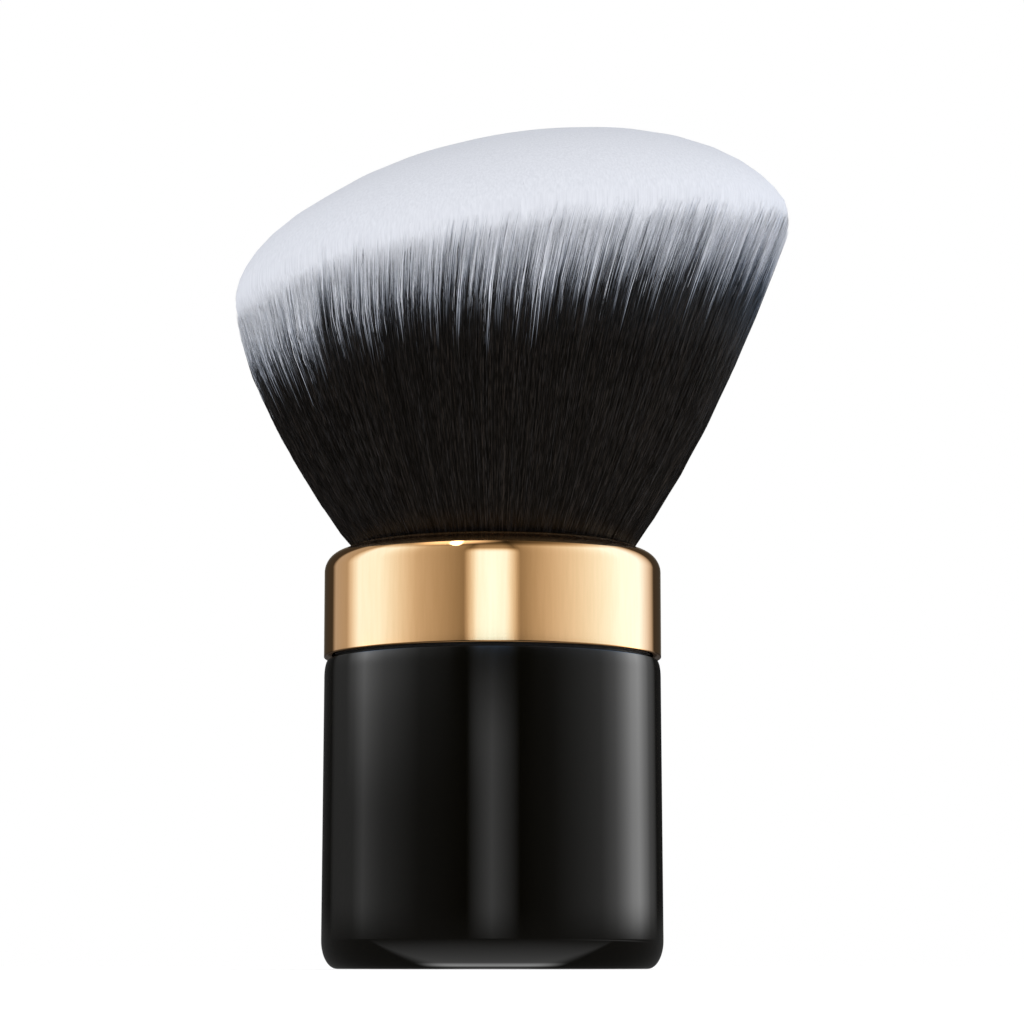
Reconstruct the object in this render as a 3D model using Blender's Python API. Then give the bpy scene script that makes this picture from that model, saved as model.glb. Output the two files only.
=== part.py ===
"""A short, weighted bronzer brush with a slanted, two-tone tuft.

The brush stands on its handle. The origin is on the handle's axis, in the plane of its foot. +Z runs up
through the tuft, +X points to the tuft's high side, and -Y faces the viewer. Every length is in metres.
"""

import math

import bmesh
import bpy
from mathutils import Vector

# Shared by all the pieces
SEAT_GAP = 0.0003
WELD_DISTANCE = 0.000001
VISIBLE_SIDES = 64
HIDDEN_SIDES = 48
BEAD_SIDES = 32
CORNER_STEPS = 4
SHARP_ANGLE = math.radians(35)

# Handle: the grip, a moulded cup that is open at its top
GRIP_RADIUS = 0.0170
GRIP_TAPER = 0.00005
HANDLE_HEIGHT = 0.0307
HANDLE_WALL = 0.00165
HANDLE_FLOOR = 0.0030
FOOT_ROUND_WIDTH = 0.0016
FOOT_ROUND_HEIGHT = 0.0024
RIM_ROUND_WIDTH = 0.0004
RIM_ROUND_HEIGHT = 0.0017
RIM_FLAT = 0.0003
BORE_FILLET = 0.0012

# Collar: a drawn metal ring, rolled in at the top
COLLAR_HEIGHT = 0.0110
COLLAR_WALL = 0.0008

# Socket: the stepped cup that joins handle, collar and tuft
SOCKET_WALL = 0.0011
SOCKET_FLOOR = 0.0012
STEM_DEPTH = 0.0068
STEM_CHAMFER = 0.0004
FLANGE_THICKNESS = 0.0013

# Cured adhesive: two beads in grooves of the socket, and a pad under the weight
BEAD_HEIGHT = 0.0014
BEAD_THICKNESS = 0.0003
STEM_BEAD_PLACE_SHARE = 0.5
COLLAR_BEAD_PLACE_SHARE = 0.45
PAD_RADIUS_SHARE = 0.8
PAD_THICKNESS = 0.0004

# Weight, and the foam over it
WEIGHT_CHAMFER = 0.0006
FOAM_THICKNESS = 0.0060
FOAM_SQUEEZE = 0.0004

# Tuft root: bristles bound with thread and set in resin
RESIN_DEPTH = 0.0030
BINDING_RISE = 0.0020
BINDING_HEIGHT = 0.0024
BINDING_THICKNESS = 0.0006
MOUTH_ROOM = 0.0006

# Tuft head: how far it spreads, how it leans, and the slanted dome it is cut to
MOUTH_SPREAD = 0.00065
HEAD_HALF_WIDTH = 0.0287
HEAD_HALF_DEPTH = 0.0233
HEAD_WIDEST_RISE = 0.0353
HEAD_SPREAD_POWER = 1.73
HEAD_LEAN = 0.0028
HEAD_SWAY = 0.0002
LEAN_START_RISE = 0.0162
DOME_RIM_RISE = 0.0271
DOME_HEIGHT = 0.0150
DOME_POWER = 2.22
DOME_SLOPE_SHARE = 0.131

# Bristles
BRISTLE_RINGS = 8
BRISTLE_SPACE = 0.0004
BRISTLE_SWELL_SHARE = 1.15
BRISTLE_SWIRL = math.radians(12)
WHITE_LENGTH = 0.0080
POINT_LENGTH = 0.0026

# Radii, from the grip inwards
foot_radius = GRIP_RADIUS + GRIP_TAPER
rim_radius = GRIP_RADIUS - GRIP_TAPER
handle_bore = rim_radius - HANDLE_WALL
rebate_radius = rim_radius - RIM_ROUND_WIDTH - RIM_FLAT
flange_radius = rebate_radius - SEAT_GAP
stem_radius = handle_bore - SEAT_GAP
socket_bore = stem_radius - SOCKET_WALL
root_radius = socket_bore - SEAT_GAP
mouth_radius = root_radius + MOUTH_ROOM
collar_bore = GRIP_RADIUS - COLLAR_WALL
lip_radius = COLLAR_WALL / 2
shoulder_radius = GRIP_RADIUS - mouth_radius - lip_radius
socket_radius = collar_bore - SEAT_GAP
socket_corner = shoulder_radius - COLLAR_WALL - SEAT_GAP
groove_depth = BEAD_THICKNESS + SEAT_GAP
weight_radius = handle_bore - SEAT_GAP
binding_groove = root_radius - BINDING_THICKNESS - SEAT_GAP

# Heights, from the foot upwards
ledge_height = HANDLE_HEIGHT - FLANGE_THICKNESS - SEAT_GAP
flange_bottom = HANDLE_HEIGHT - FLANGE_THICKNESS
collar_bottom = HANDLE_HEIGHT + SEAT_GAP
collar_top = collar_bottom + COLLAR_HEIGHT
shoulder_height = collar_top - shoulder_radius
socket_top = collar_top - COLLAR_WALL - SEAT_GAP
socket_bottom = HANDLE_HEIGHT - STEM_DEPTH
pad_bottom = HANDLE_FLOOR + SEAT_GAP
weight_bottom = pad_bottom + PAD_THICKNESS + SEAT_GAP
foam_top = socket_bottom - SEAT_GAP
foam_bottom = foam_top - FOAM_THICKNESS
weight_top = foam_bottom - SEAT_GAP
resin_bottom = socket_bottom + SOCKET_FLOOR + SEAT_GAP
root_bottom = resin_bottom + RESIN_DEPTH + SEAT_GAP
groove_bottom = root_bottom + BINDING_RISE
groove_top = groove_bottom + BINDING_HEIGHT + 2 * SEAT_GAP
stem_bead_height = socket_bottom + STEM_BEAD_PLACE_SHARE * (flange_bottom - socket_bottom)
collar_bead_height = HANDLE_HEIGHT + COLLAR_BEAD_PLACE_SHARE * (shoulder_height - HANDLE_HEIGHT)
head_widest = collar_top + HEAD_WIDEST_RISE
lean_start = collar_top + LEAN_START_RISE
dome_rim = collar_top + DOME_RIM_RISE


def clear_scene():
    for thing in list(bpy.data.objects):
        bpy.data.objects.remove(thing)


def finish(name, colour, roughness, metallic=0.0):
    """A plain Principled material."""
    material = bpy.data.materials.new(name)
    material.use_nodes = True
    shader = material.node_tree.nodes["Principled BSDF"]
    shader.inputs["Base Color"].default_value = (*colour, 1.0)
    shader.inputs["Roughness"].default_value = roughness
    shader.inputs["Metallic"].default_value = metallic
    return material


def add_object(name, mesh, materials):
    """Turns a bmesh into an object with this name and these materials."""
    data = bpy.data.meshes.new(name)
    mesh.to_mesh(data)
    mesh.free()
    for material in materials:
        data.materials.append(material)
    thing = bpy.data.objects.new(name, data)
    bpy.context.collection.objects.link(thing)
    return thing


def rounded(centre, width, height, start, end):
    """A quarter ellipse as (radius, height) points, between two angles in degrees."""
    points = []
    for step in range(CORNER_STEPS + 1):
        angle = math.radians(start + (end - start) * step / CORNER_STEPS)
        points.append((centre[0] + width * math.cos(angle), centre[1] + height * math.sin(angle)))
    return points


def turned(name, outline, sides, material):
    """A body of revolution about Z. An outline that starts on the axis also ends there."""
    mesh = bmesh.new()
    points = [mesh.verts.new((radius, 0, height)) for radius, height in outline]
    edges = [mesh.edges.new(pair) for pair in zip(points, points[1:])]
    if outline[0][0] > 0:
        edges.append(mesh.edges.new((points[-1], points[0])))
    bmesh.ops.spin(
        mesh,
        geom=points + edges,
        axis=(0, 0, 1),
        cent=(0, 0, 0),
        angle=2 * math.pi,
        steps=sides,
        use_merge=True,
    )
    bmesh.ops.remove_doubles(mesh, verts=mesh.verts, dist=WELD_DISTANCE)
    bmesh.ops.recalc_face_normals(mesh, faces=mesh.faces)
    thing = add_object(name, mesh, [material])
    thing.data.shade_smooth()
    thing.data.set_sharp_from_angle(angle=SHARP_ANGLE)
    return thing


def make_handle_shell(material):
    foot = rounded(
        (foot_radius - FOOT_ROUND_WIDTH, FOOT_ROUND_HEIGHT), FOOT_ROUND_WIDTH, FOOT_ROUND_HEIGHT, -90, 0
    )
    rim = rounded(
        (rim_radius - RIM_ROUND_WIDTH, HANDLE_HEIGHT - RIM_ROUND_HEIGHT),
        RIM_ROUND_WIDTH,
        RIM_ROUND_HEIGHT,
        0,
        90,
    )
    rebate = [(rebate_radius, HANDLE_HEIGHT), (rebate_radius, ledge_height), (handle_bore, ledge_height)]
    bore_foot = rounded(
        (handle_bore - BORE_FILLET, HANDLE_FLOOR + BORE_FILLET), BORE_FILLET, BORE_FILLET, 0, -90
    )
    outline = [(0, 0), *foot, *rim, *rebate, *bore_foot, (0, HANDLE_FLOOR)]
    return turned("handle_shell", outline, VISIBLE_SIDES, material)


def make_collar_ring(material):
    shoulder = (GRIP_RADIUS - shoulder_radius, shoulder_height)
    inner_shoulder = shoulder_radius - COLLAR_WALL
    outer = rounded(shoulder, shoulder_radius, shoulder_radius, 0, 90)
    lip = rounded((shoulder[0], collar_top - lip_radius), lip_radius, lip_radius, 90, 270)
    inner = rounded(shoulder, inner_shoulder, inner_shoulder, 90, 0)
    outline = [(GRIP_RADIUS, collar_bottom), *outer, *lip[1:-1], *inner, (collar_bore, collar_bottom)]
    return turned("collar_ring", outline, VISIBLE_SIDES, material)


def bead_groove(radius, middle):
    """The groove that a bead lies in, as points from its top to its bottom."""
    half = BEAD_HEIGHT / 2 + SEAT_GAP
    floor = radius - groove_depth
    return [(radius, middle + half), (floor, middle + half), (floor, middle - half), (radius, middle - half)]


def make_tuft_socket(material):
    corner = rounded(
        (socket_radius - socket_corner, socket_top - socket_corner), socket_corner, socket_corner, 90, 0
    )
    flange = [
        (socket_radius, HANDLE_HEIGHT),
        (flange_radius, HANDLE_HEIGHT),
        (flange_radius, flange_bottom),
        (stem_radius, flange_bottom),
    ]
    stem_foot = [
        (stem_radius, socket_bottom + STEM_CHAMFER),
        (stem_radius - STEM_CHAMFER, socket_bottom),
    ]
    outline = [
        (0, socket_bottom + SOCKET_FLOOR),
        (socket_bore, socket_bottom + SOCKET_FLOOR),
        (socket_bore, socket_top),
        *corner,
        *bead_groove(socket_radius, collar_bead_height),
        *flange,
        *bead_groove(stem_radius, stem_bead_height),
        *stem_foot,
        (0, socket_bottom),
    ]
    return turned("tuft_socket", outline, HIDDEN_SIDES, material)


def make_bead(name, radius, middle, material):
    """A bead of cured adhesive, flush with the wall that its groove is cut in."""
    inner = radius - BEAD_THICKNESS
    top = middle + BEAD_HEIGHT / 2
    bottom = middle - BEAD_HEIGHT / 2
    outline = [(inner, top), (radius, top), (radius, bottom), (inner, bottom)]
    return turned(name, outline, BEAD_SIDES, material)


def make_disc(name, radius, bottom, top, chamfer, material):
    """A round slab, with its two edges broken where it has a chamfer."""
    outline = [
        (0, top),
        (radius - chamfer, top),
        (radius, top - chamfer),
        (radius, bottom + chamfer),
        (radius - chamfer, bottom),
        (0, bottom),
    ]
    return turned(name, outline, HIDDEN_SIDES, material)


def make_plain_disc(name, radius, bottom, top, material):
    return turned(name, [(0, top), (radius, top), (radius, bottom), (0, bottom)], BEAD_SIDES, material)


def make_root_binding(material):
    """The wound thread as one band, in the groove that it pulls into the tuft's root."""
    inner = binding_groove + SEAT_GAP
    top = groove_top - SEAT_GAP
    bottom = groove_bottom + SEAT_GAP
    outline = [(inner, top), (root_radius, top), (root_radius, bottom), (inner, bottom)]
    return turned("root_binding", outline, BEAD_SIDES, material)


def share_between(value, low, high):
    """How far a value lies between two others, from 0 to 1."""
    return min(1.0, max(0.0, (value - low) / (high - low)))


def tuft_spread(height, widest):
    """The tuft's half width, or half depth, at a height: a flare that grows steeply and then eases off."""
    mouth = root_radius + MOUTH_SPREAD
    eased = 1 - (1 - share_between(height, collar_top, head_widest)) ** HEAD_SPREAD_POWER
    return mouth + (widest - mouth) * eased


def tuft_lean(height):
    """How far the tuft's middle has moved towards its high side, after swaying a little the other way."""
    rise = share_between(height, collar_top, head_widest)
    lean = share_between(height, lean_start, head_widest) ** 2
    return HEAD_LEAN * lean - HEAD_SWAY * 4 * rise * (1 - rise)


def in_head(place, height):
    """The point at this height of a bristle with this place in the unit disc."""
    return Vector(
        (
            tuft_lean(height) + tuft_spread(height, HEAD_HALF_WIDTH) * place.x,
            tuft_spread(height, HEAD_HALF_DEPTH) * place.y,
            height,
        )
    )


def cut_height(place):
    """The height of the slanted dome over a place in the unit disc."""
    dome = DOME_HEIGHT * math.sqrt(max(0.0, 1 - place.length**DOME_POWER))
    return dome_rim + DOME_SLOPE_SHARE * HEAD_HALF_WIDTH * place.x + dome


def add_root_disc(mesh):
    """The top of the tuft's root: rings of near-equal triangles, one for each bristle."""
    rings = [[mesh.verts.new((0, 0, socket_top))]]
    cells = []
    for ring in range(1, BRISTLE_RINGS + 1):
        count = 6 * ring
        radius = root_radius * ring / BRISTLE_RINGS
        outer = []
        for place in range(count):
            angle = 2 * math.pi * place / count + BRISTLE_SWIRL * ring / BRISTLE_RINGS
            outer.append(mesh.verts.new((radius * math.cos(angle), radius * math.sin(angle), socket_top)))
        inner = rings[-1]
        for place in range(count):
            sector, step = divmod(place, ring)
            near = inner[(sector * (ring - 1) + step) % len(inner)]
            far = outer[(place + 1) % count]
            cells.append(mesh.faces.new((near, outer[place], far)))
            if step < ring - 1:
                beside = inner[(sector * (ring - 1) + step + 1) % len(inner)]
                cells.append(mesh.faces.new((near, far, beside)))
        rings.append(outer)
    return cells


def add_root_body(mesh):
    """The root below that disc, with the groove for its binding, closed at the bottom."""
    rim = [edge for edge in mesh.edges if edge.is_boundary]
    walls = [
        (root_radius, groove_top),
        (binding_groove, groove_top),
        (binding_groove, groove_bottom),
        (root_radius, groove_bottom),
        (root_radius, root_bottom),
    ]
    for radius, height in walls:
        grown = bmesh.ops.extrude_edge_only(mesh, edges=rim)["geom"]
        rim = [part for part in grown if isinstance(part, bmesh.types.BMEdge) and part.is_boundary]
        for corner in {corner for edge in rim for corner in edge.verts}:
            around = Vector((corner.co.x, corner.co.y)).normalized() * radius
            corner.co = (around.x, around.y, height)
    bmesh.ops.holes_fill(mesh, edges=rim, sides=len(rim))


def grow_bristle(mesh, cell):
    """Raises one bristle from its cell: a dark length, a white length and a point."""
    corners = [Vector((corner.co.x, corner.co.y)) / root_radius for corner in cell.verts]
    place = sum(corners, Vector((0, 0))) / len(corners)
    tip = cut_height(place)
    for height, material_index in ((tip - WHITE_LENGTH, 0), (tip - POINT_LENGTH, 1)):
        (cell,) = bmesh.ops.extrude_discrete_faces(mesh, faces=[cell])["faces"]
        for corner, at in zip(cell.verts, corners):
            corner.co = in_head(place + (at - place) * BRISTLE_SWELL_SHARE, height)
        for edge in cell.edges:
            for side in edge.link_faces:
                side.material_index = material_index
    point = bmesh.ops.poke(mesh, faces=[cell])
    point["verts"][0].co = in_head(place, tip)
    for side in point["faces"]:
        side.material_index = 1


def make_bristle_tuft(dark, white):
    mesh = bmesh.new()
    cells = add_root_disc(mesh)
    add_root_body(mesh)
    bmesh.ops.recalc_face_normals(mesh, faces=mesh.faces)
    bmesh.ops.inset_individual(mesh, faces=cells, thickness=BRISTLE_SPACE / 2, use_even_offset=True)
    for cell in cells:
        grow_bristle(mesh, cell)
    return add_object("bristle_tuft", mesh, [dark, white])


def main():
    clear_scene()
    black_gloss = finish("black_gloss", (0.006, 0.006, 0.005), 0.08)
    gold_metal = finish("gold_metal", (0.78, 0.50, 0.26), 0.12, 1.0)
    black_plastic = finish("black_plastic", (0.02, 0.02, 0.02), 0.5)
    steel = finish("steel", (0.55, 0.55, 0.56), 0.35, 1.0)
    adhesive = finish("adhesive", (0.72, 0.66, 0.48), 0.4)
    resin = finish("resin", (0.55, 0.42, 0.22), 0.25)
    thread = finish("thread", (0.75, 0.73, 0.68), 0.8)
    foam = finish("foam", (0.08, 0.08, 0.085), 0.9)
    dark_bristle = finish("dark_bristle", (0.012, 0.010, 0.011), 0.45)
    white_bristle = finish("white_bristle", (0.72, 0.75, 0.80), 0.5)

    make_handle_shell(black_gloss)
    make_collar_ring(gold_metal)
    make_tuft_socket(black_plastic)
    make_bead("collar_bond", socket_radius, collar_bead_height, adhesive)
    make_bead("stem_bond", stem_radius, stem_bead_height, adhesive)
    make_plain_disc(
        "weight_bond", weight_radius * PAD_RADIUS_SHARE, pad_bottom, pad_bottom + PAD_THICKNESS, adhesive
    )
    make_disc("weight_slug", weight_radius, weight_bottom, weight_top, WEIGHT_CHAMFER, steel)
    make_plain_disc("foam_pad", weight_radius - FOAM_SQUEEZE, foam_bottom, foam_top, foam)
    make_plain_disc("root_epoxy", root_radius, resin_bottom, resin_bottom + RESIN_DEPTH, resin)
    make_root_binding(thread)
    make_bristle_tuft(dark_bristle, white_bristle)


main()
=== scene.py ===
# %% [markdown]
# # Dressing a bronzer brush on its CAD frame
# The CAD model gives every solid piece of the brush its place and size. This lesson dresses it: a gloss
# handle and a polished collar are turned again with finer steps, and the coarse CAD tuft gives way to tens
# of thousands of fine bristles. All lengths are in metres, +Z points up the brush and the viewer stands at
# -Y.

# %% Load the frame
import math

import bmesh
import bpy
import numpy as np
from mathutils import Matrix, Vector


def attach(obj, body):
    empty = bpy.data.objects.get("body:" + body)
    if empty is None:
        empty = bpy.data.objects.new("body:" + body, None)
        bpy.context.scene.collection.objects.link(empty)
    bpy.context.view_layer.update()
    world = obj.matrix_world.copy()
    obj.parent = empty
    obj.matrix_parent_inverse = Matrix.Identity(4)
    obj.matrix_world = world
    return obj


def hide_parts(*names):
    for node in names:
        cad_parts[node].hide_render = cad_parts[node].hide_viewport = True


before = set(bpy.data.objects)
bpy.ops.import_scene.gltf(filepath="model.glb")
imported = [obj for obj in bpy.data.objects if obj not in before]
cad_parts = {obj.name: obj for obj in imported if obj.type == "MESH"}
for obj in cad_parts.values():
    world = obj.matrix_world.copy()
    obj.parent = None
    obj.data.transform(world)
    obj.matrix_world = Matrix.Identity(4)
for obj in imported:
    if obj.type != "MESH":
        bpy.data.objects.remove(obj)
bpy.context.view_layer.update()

# %% [markdown]
# ## The camera
# A long lens stands about 32 cm in front of the brush, hardly above the table top, and looks a little
# upwards. These numbers come from fitting the silhouette of the brush and the curves of its rims. A camera
# that isn't turned looks down, so the first 90 degrees only bring it level.

# %% Set up the camera
CAMERA_PLACE = (0.001957, -0.31704, 0.0004)
CAMERA_PITCH = math.radians(8.177)
LENS_MM = 110.8

camera = bpy.data.objects.new("front_camera", bpy.data.cameras.new("front_camera"))
camera.data.lens = LENS_MM
camera.data.sensor_width = 36.0
camera.data.clip_start = 0.01
camera.location = CAMERA_PLACE
camera.rotation_euler = (math.radians(90) + CAMERA_PITCH, 0, 0)
bpy.context.scene.collection.objects.link(camera)
bpy.context.scene.camera = camera
bpy.context.scene.view_settings.view_transform = "Standard"
print("the camera looks up by", round(math.degrees(CAMERA_PITCH), 1), "degrees")

# %% [markdown]
# ## Writing shaders as sums
# A material is a graph of nodes. Wiring each Math node by hand hides the idea, so one small class stands
# for a node's output and lets Python's own operators add the Math nodes. Every other node comes from one
# method. A Mix node keeps its sockets for numbers, vectors and colours side by side, so the ones for
# colours are numbered.

# %% A class for shader sums
MIX_SHARE, MIX_FIRST, MIX_SECOND, MIX_RESULT = 0, 6, 7, 2


class Shade:
    """One output of a shader node, or a tree to start from."""

    def __init__(self, tree, output=None):
        self.tree = tree
        self.output = output

    def node(self, kind, settings=(), inputs=(), output=0):
        """Adds a node: its settings first, then the numbers or links of its sockets."""
        made = self.tree.nodes.new("ShaderNode" + kind)
        for name, value in dict(settings).items():
            if name == "stops":
                fill_ramp(made.color_ramp, value)
            else:
                setattr(made, name, value)
        for name, value in dict(inputs).items():
            if isinstance(value, Shade):
                self.tree.links.new(value.output, made.inputs[name])
            else:
                made.inputs[name].default_value = value
        return Shade(self.tree, made.outputs[output])

    def math(self, operation, first, second=0.0):
        """Adds a Math node."""
        return self.node("Math", {"operation": operation}, {0: first, 1: second})

    def __add__(self, other):
        return self.math("ADD", self, other)

    def __sub__(self, other):
        return self.math("SUBTRACT", self, other)

    def __rsub__(self, other):
        return self.math("SUBTRACT", other, self)

    def __mul__(self, other):
        return self.math("MULTIPLY", self, other)

    def __truediv__(self, other):
        return self.math("DIVIDE", self, other)

    def __rtruediv__(self, other):
        return self.math("DIVIDE", other, self)

    __radd__ = __add__
    __rmul__ = __mul__

    def between(self, low, high):
        """A value from 0 to 1, stretched to run from low to high."""
        return self * (high - low) + low

    def step(self, low, high):
        """A soft step from 0 at low to 1 at high."""
        inputs = {"Value": self, "From Min": low, "From Max": high}
        return self.node("MapRange", {"interpolation_type": "SMOOTHSTEP"}, inputs)

    def ramp(self, stops):
        """A colour ramp over this value."""
        return self.node("ValToRGB", {"stops": stops}, {0: self})

    def blend(self, first, second):
        """Mixes two colours, with this value as the share of the second."""
        inputs = {MIX_SHARE: self, MIX_FIRST: first, MIX_SECOND: second}
        return self.node("Mix", {"data_type": "RGBA"}, inputs, output=MIX_RESULT)

    def place(self):
        """Where a point of the piece is, in the piece's own coordinates."""
        return self.node("TexCoord", output="Object")

    def axes(self):
        """The X, Y and Z of a vector."""
        return [self.node("SeparateXYZ", inputs={0: self}, output=axis) for axis in range(3)]

    def vector(self, x, y, z):
        """A vector from three values."""
        return self.node("CombineXYZ", inputs={0: x, 1: y, 2: z})

    def scaled(self, x, y, z):
        """A vector stretched along each axis."""
        return self.node("VectorMath", {"operation": "MULTIPLY"}, {0: self, 1: (x, y, z)})

    def noise(self, scale, detail):
        """Smooth noise over this vector, from 0 to 1."""
        return self.node("TexNoise", inputs={"Vector": self, "Scale": scale, "Detail": detail})

    def cells(self, scale):
        """The distance to the middle of the nearest of many scattered cells."""
        return self.node("TexVoronoi", inputs={"Vector": self, "Scale": scale})

    def bump(self, distance):
        """A normal that follows this value as a height."""
        return self.node("Bump", inputs={"Strength": 1.0, "Distance": distance, "Height": self})


def fill_ramp(ramp, stops):
    """Gives a colour ramp its stops, each a place and a grey."""
    while len(ramp.elements) < len(stops):
        ramp.elements.new(0.5)
    for element, (place, grey) in zip(ramp.elements, stops):
        element.position = place
        element.color = (grey, grey, grey, 1.0)


# %% Start a material from a Principled shader
def new_material(name, **constants):
    """A material with plain numbers set on its Principled shader."""
    material = bpy.data.materials.new(name)
    material.use_nodes = True
    shader = material.node_tree.nodes["Principled BSDF"]
    for socket, value in constants.items():
        shader.inputs[socket.replace("_", " ")].default_value = value
    print("new material:", name)
    return material, shader, Shade(material.node_tree)


def connect(shader, **shades):
    """Links shades to the sockets of a shader."""
    for socket, shade in shades.items():
        shade.tree.links.new(shade.output, shader.inputs[socket.replace("_", " ")])


# %% [markdown]
# ## The table and the light
# Polished metal shows nothing but its surroundings, so the surroundings are built first, as two sets in one
# place. A white floor, a ring of plain paper and a soft lamp above light the bristles. A closed drum that
# only glossy surfaces see holds the bright and dark panels that the collar and the handle mirror. The
# camera sees neither the ring nor the drum, and the background is plain white.

# %% The floor, white and able to hold a shadow
FLOOR_RADIUS = 0.30
FLOOR_DROP = 0.00004
FLOOR_GLOW = 0.60
ROUND_SIDES = 96


def stage_piece(name, mesh, material):
    """A part of the studio, which isn't part of the brush."""
    data = bpy.data.meshes.new(name)
    mesh.to_mesh(data)
    mesh.free()
    data.materials.append(material)
    thing = bpy.data.objects.new(name, data)
    bpy.context.scene.collection.objects.link(thing)
    return thing


floor_paper = new_material(
    "floor_paper",
    Base_Color=(0.5, 0.5, 0.5, 1.0),
    Roughness=1.0,
    Specular_IOR_Level=0.0,
    Emission_Color=(1.0, 1.0, 1.0, 1.0),
    Emission_Strength=FLOOR_GLOW,
)[0]
mesh = bmesh.new()
bmesh.ops.create_circle(mesh, cap_ends=True, segments=ROUND_SIDES, radius=FLOOR_RADIUS)
bmesh.ops.translate(mesh, verts=mesh.verts, vec=(0, 0, -FLOOR_DROP))
stage_piece("floor", mesh, floor_paper)
print("the floor is", 2 * FLOOR_RADIUS, "m across")

# %% [markdown]
# A plain wall lights the bristles from all round. It is a little brighter at the two sides than in front
# and behind, which gives the tuft its soft roundness. The glossy pieces don't see it, since they have the
# drum.

# %% The ring of plain paper
WALL_RADIUS = 0.30
WALL_HEIGHT = 0.30
PAPER_GLOW = 1.15
PAPER_SIDES = 0.15


def unseen(thing, *kinds):
    """Hides a thing of the studio from some kinds of rays."""
    for kind in kinds:
        setattr(thing, "visible_" + kind, False)


def drum(cap_ends):
    """The wall that stands round the brush."""
    mesh = bmesh.new()
    bmesh.ops.create_cone(
        mesh,
        cap_ends=cap_ends,
        segments=ROUND_SIDES,
        radius1=WALL_RADIUS,
        radius2=WALL_RADIUS,
        depth=WALL_HEIGHT,
    )
    bmesh.ops.translate(mesh, verts=mesh.verts, vec=(0, 0, WALL_HEIGHT / 2))
    return mesh


paper, shader, start = new_material(
    "plain_paper",
    Base_Color=(0, 0, 0, 1),
    Specular_IOR_Level=0.0,
    Emission_Strength=PAPER_GLOW + PAPER_SIDES,
)
x = start.place().axes()[0]
sides = x * x * (PAPER_SIDES / WALL_RADIUS**2) + PAPER_GLOW
connect(shader, Emission_Color=sides / (PAPER_GLOW + PAPER_SIDES))
paper_ring = stage_piece("paper_ring", drum(False), paper)
unseen(paper_ring, "camera", "glossy")
print("the paper glows with", PAPER_GLOW, "to", round(PAPER_GLOW + PAPER_SIDES, 2))

# %% [markdown]
# ## What the polished pieces mirror
# Round a shiny product a studio puts tall bright and dark panels, whose edges become its reflections. They
# could be modelled one by one. Here they are painted on one drum, by their direction seen from the brush,
# so each strip of light is set in degrees. The camera stands low, so rays that leave the upright handle
# meet the drum below a certain height and those from the collar above it. Each gets panels of its own.

# %% The panels, by direction
PANEL_STRENGTH = 9.0
COLLAR_PANELS = (
    (-180, 0.3),
    (-170, 0.15),
    (-158, 0.05),
    (-137, 0.05),
    (-131, 0.55),
    (-114, 0.55),
    (-100, 1.9),
    (-80, 1.85),
    (-50, 0.75),
    (-18, 0.3),
    (-9, 2.0),
    (0, 2.2),
    (9, 2.0),
    (18, 0.35),
    (60, 1.3),
    (95, 2.15),
    (116, 2.1),
    (136, 0.5),
    (140, 0.05),
    (160, 0.05),
    (172, 0.2),
)
HANDLE_PANELS = (
    (-180, 0.06),
    (-138, 0.02),
    (-131, 0.11),
    (-105, 0.25),
    (-94, 0.62),
    (-76, 0.33),
    (-48, 0.08),
    (-16, 0),
    (0, 0.95),
    (18, 0),
    (40, 0.07),
    (76, 0.45),
    (89, 0.95),
    (106, 2.45),
    (114, 2.4),
    (122, 1.2),
    (130, 0.4),
    (144, 0.02),
)


def around(panels):
    """Turns directions in degrees, 0 towards the camera, into a ramp's stops."""
    return [(direction / 360 + 0.5, light / PANEL_STRENGTH) for direction, light in panels]


panels, shader, start = new_material(
    "panels",
    Base_Color=(0, 0, 0, 1),
    Specular_IOR_Level=0.0,
    Emission_Strength=PANEL_STRENGTH,
)
place = start.place()
x, y, z = place.axes()
direction = start.math("ARCTAN2", x, 0 - y) / (2 * math.pi) + 0.5
radius = start.math("SQRT", x * x + y * y)
print(len(COLLAR_PANELS), "stops of light for the collar and", len(HANDLE_PANELS), "for the handle")

# %% [markdown]
# The rolled shoulder of the collar mirrors the upper wall and the ceiling, which grow darker towards the
# middle over the brush. The strip in front is dimmed high up, so that it doesn't run over the shoulder.
# Polished gold looks brown where it mirrors something dark and almost white where it mirrors something
# bright, so the panels get more red and less blue where they are dark, and the other way round where they
# are bright.

# %% What the collar mirrors
CEILING_FADE = (0.12, 0.36)
CEILING_LIGHT = (0.12, 1.17)
FRONT_WIDTH = (15 / 360, 20 / 360)
FRONT_HEIGHT = (0.09, 0.24)
FRONT_CUT = 0.8
BRIGHTEST_PANEL = 2.2
RED_SHARES = (1.10, 0.58)
BLUE_SHARES = (0.78, 1.70)

collar_glow = direction.ramp(around(COLLAR_PANELS))
front = 1 - start.math("ABSOLUTE", direction - 0.5).step(*FRONT_WIDTH)
collar_glow = collar_glow * (1 - front * z.step(*FRONT_HEIGHT) * FRONT_CUT)
collar_glow = collar_glow * radius.step(*CEILING_FADE).between(*CEILING_LIGHT)
bright = collar_glow * (PANEL_STRENGTH / BRIGHTEST_PANEL)
red = collar_glow * bright.between(*RED_SHARES)
blue = collar_glow * bright.between(*BLUE_SHARES)
collar_glow = start.vector(red, collar_glow, blue)
print("the ceiling's middle has", CEILING_LIGHT[0], "of the light of its edge")

# %% [markdown]
# The handle's strips grow brighter towards its rim, and the left one most. Each rise is a soft step over a
# range of heights, with a gain. The strip in the middle fades a little towards the rim instead.

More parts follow.
